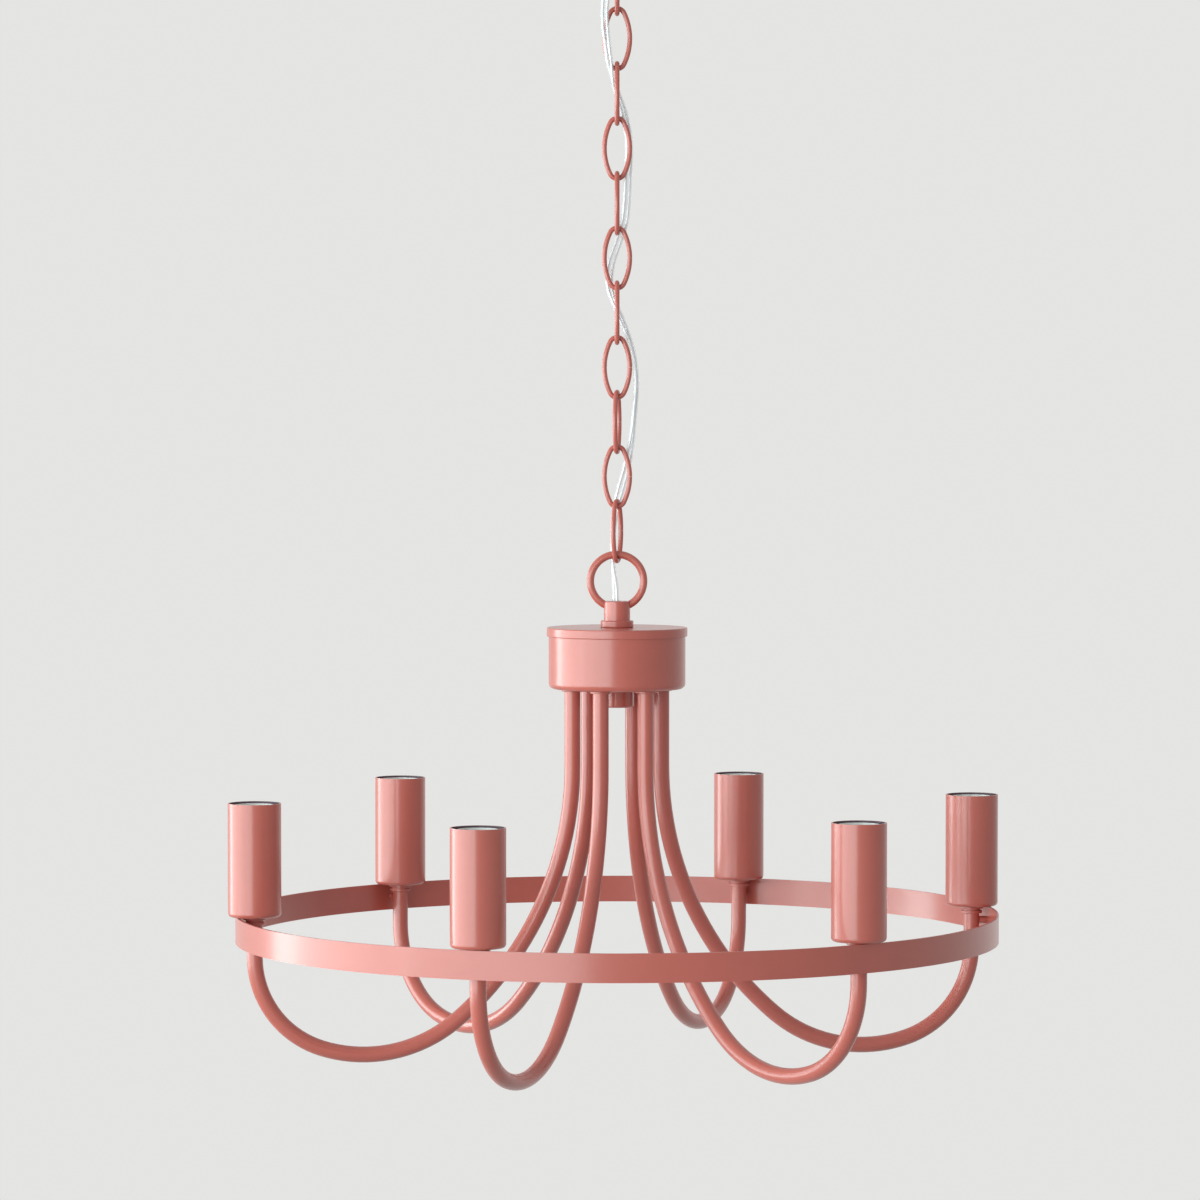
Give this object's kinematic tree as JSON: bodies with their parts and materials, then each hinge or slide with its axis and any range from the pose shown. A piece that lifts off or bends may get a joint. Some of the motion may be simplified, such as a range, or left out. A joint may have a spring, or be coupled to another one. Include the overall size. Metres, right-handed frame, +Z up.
{
  "type": "chandelier",
  "caption": "Chandelier with bent tube arms, upright cups holding screw lamp sockets and a flat hoop, hung by a hub and a link chain with a woven cord from a ceiling canopy.",
  "frame": {"origin": "centre of the crossbar's upper face, where it meets the ceiling, on the chandelier's axis", "axes": "+Z up into the ceiling, X along the crossbar and in the plane of both loops"},
  "size_m": [0.6162, 0.6096, 0.9587],
  "materials": {
    "painted_iron": "satin powder coat",
    "zinc_steel": "zinc plated",
    "clear_cord": "clear jacket over silver strands",
    "white_socket": "glazed",
    "socket_shell": "rolled",
    "socket_contact": "plain",
    "connector": "matte",
    "lead_sheath": "satin"
  },
  "bodies": {
    "ceiling_fitting": {"crossbar": "zinc_steel", "canopy": "painted_iron", "canopy_stem": "zinc_steel", "canopy_nut": "zinc_steel", "canopy_loop_seat": "painted_iron", "canopy_loop": "painted_iron", "cord_01": "clear_cord"},
    "chain_01": {"link_01": "painted_iron", "cord_02": "clear_cord"},
    "chain_02": {"link_02": "painted_iron", "cord_03": "clear_cord"},
    "chain_03": {"link_03": "painted_iron", "cord_04": "clear_cord"},
    "chain_04": {"link_04": "painted_iron", "cord_05": "clear_cord"},
    "chain_05": {"link_05": "painted_iron", "cord_06": "clear_cord"},
    "chain_06": {"link_06": "painted_iron", "cord_07": "clear_cord"},
    "chain_07": {"link_07": "painted_iron", "cord_08": "clear_cord"},
    "chain_08": {"link_08": "painted_iron", "cord_09": "clear_cord"},
    "chain_09": {"link_09": "painted_iron", "cord_10": "clear_cord"},
    "chain_10": {"link_10": "painted_iron", "cord_11": "clear_cord"},
    "chain_11": {"link_11": "painted_iron", "cord_12": "clear_cord"},
    "fixture": {"hub_loop": "painted_iron", "hub_loop_seat": "painted_iron", "hub_lid": "painted_iron", "hub_can": "painted_iron", "finial": "painted_iron", "arm_1": "painted_iron", "arm_2": "painted_iron", "arm_3": "painted_iron", "arm_4": "painted_iron", "arm_5": "painted_iron", "arm_6": "painted_iron", "arm_collars": "painted_iron", "hoop": "painted_iron", "hoop_pins": "painted_iron", "cup_collars": "painted_iron", "cup_1": "painted_iron", "cup_2": "painted_iron", "cup_3": "painted_iron", "cup_4": "painted_iron", "cup_5": "painted_iron", "cup_6": "painted_iron", "hub_stem": "zinc_steel", "hub_stem_nuts": "zinc_steel", "arm_nuts": "zinc_steel", "cup_nuts": "zinc_steel", "socket_nipples": "zinc_steel", "socket_bodies": "white_socket", "socket_shells": "socket_shell", "socket_contacts": "socket_contact", "wire_connectors": "connector", "arm_leads": "lead_sheath"}
  },
  "joints": [
    {"name": "swing_01", "type": "hinge", "parent": "ceiling_fitting", "child": "chain_01", "pos_m": [0, 0, -0.08325], "axis": [1, 0, 0], "range_deg": [-10, 10], "deforming": ["cord_01"]},
    {"name": "swing_02", "type": "hinge", "parent": "chain_01", "child": "chain_02", "pos_m": [0, 0, -0.1257], "axis": [0, 1, 0], "range_deg": [-10, 10], "deforming": ["cord_02"]},
    {"name": "swing_03", "type": "hinge", "parent": "chain_02", "child": "chain_03", "pos_m": [0, 0, -0.1692], "axis": [1, 0, 0], "range_deg": [-10, 10], "deforming": ["cord_03"]},
    {"name": "swing_04", "type": "hinge", "parent": "chain_03", "child": "chain_04", "pos_m": [0, 0, -0.2127], "axis": [0, 1, 0], "range_deg": [-10, 10], "deforming": ["cord_04"]},
    {"name": "swing_05", "type": "hinge", "parent": "chain_04", "child": "chain_05", "pos_m": [0, 0, -0.2562], "axis": [1, 0, 0], "range_deg": [-10, 10], "deforming": ["cord_05"]},
    {"name": "swing_06", "type": "hinge", "parent": "chain_05", "child": "chain_06", "pos_m": [0, 0, -0.2997], "axis": [0, 1, 0], "range_deg": [-10, 10], "deforming": ["cord_06"]},
    {"name": "swing_07", "type": "hinge", "parent": "chain_06", "child": "chain_07", "pos_m": [0, 0, -0.3432], "axis": [1, 0, 0], "range_deg": [-10, 10], "deforming": ["cord_07"]},
    {"name": "swing_08", "type": "hinge", "parent": "chain_07", "child": "chain_08", "pos_m": [0, 0, -0.3867], "axis": [0, 1, 0], "range_deg": [-10, 10], "deforming": ["cord_08"]},
    {"name": "swing_09", "type": "hinge", "parent": "chain_08", "child": "chain_09", "pos_m": [0, 0, -0.4302], "axis": [1, 0, 0], "range_deg": [-10, 10], "deforming": ["cord_09"]},
    {"name": "swing_10", "type": "hinge", "parent": "chain_09", "child": "chain_10", "pos_m": [0, 0, -0.4737], "axis": [0.1736, 0.9848, 0], "range_deg": [-10, 10], "deforming": ["cord_10"]},
    {"name": "swing_11", "type": "hinge", "parent": "chain_10", "child": "chain_11", "pos_m": [0, 0, -0.5172], "axis": [1, 0, 0], "range_deg": [-10, 10], "deforming": ["cord_11"]},
    {"name": "swing_12", "type": "hinge", "parent": "chain_11", "child": "fixture", "pos_m": [0, 0, -0.5607], "axis": [0.309, 0.9511, 0], "range_deg": [-10, 10], "deforming": ["cord_12"]}
  ]
}
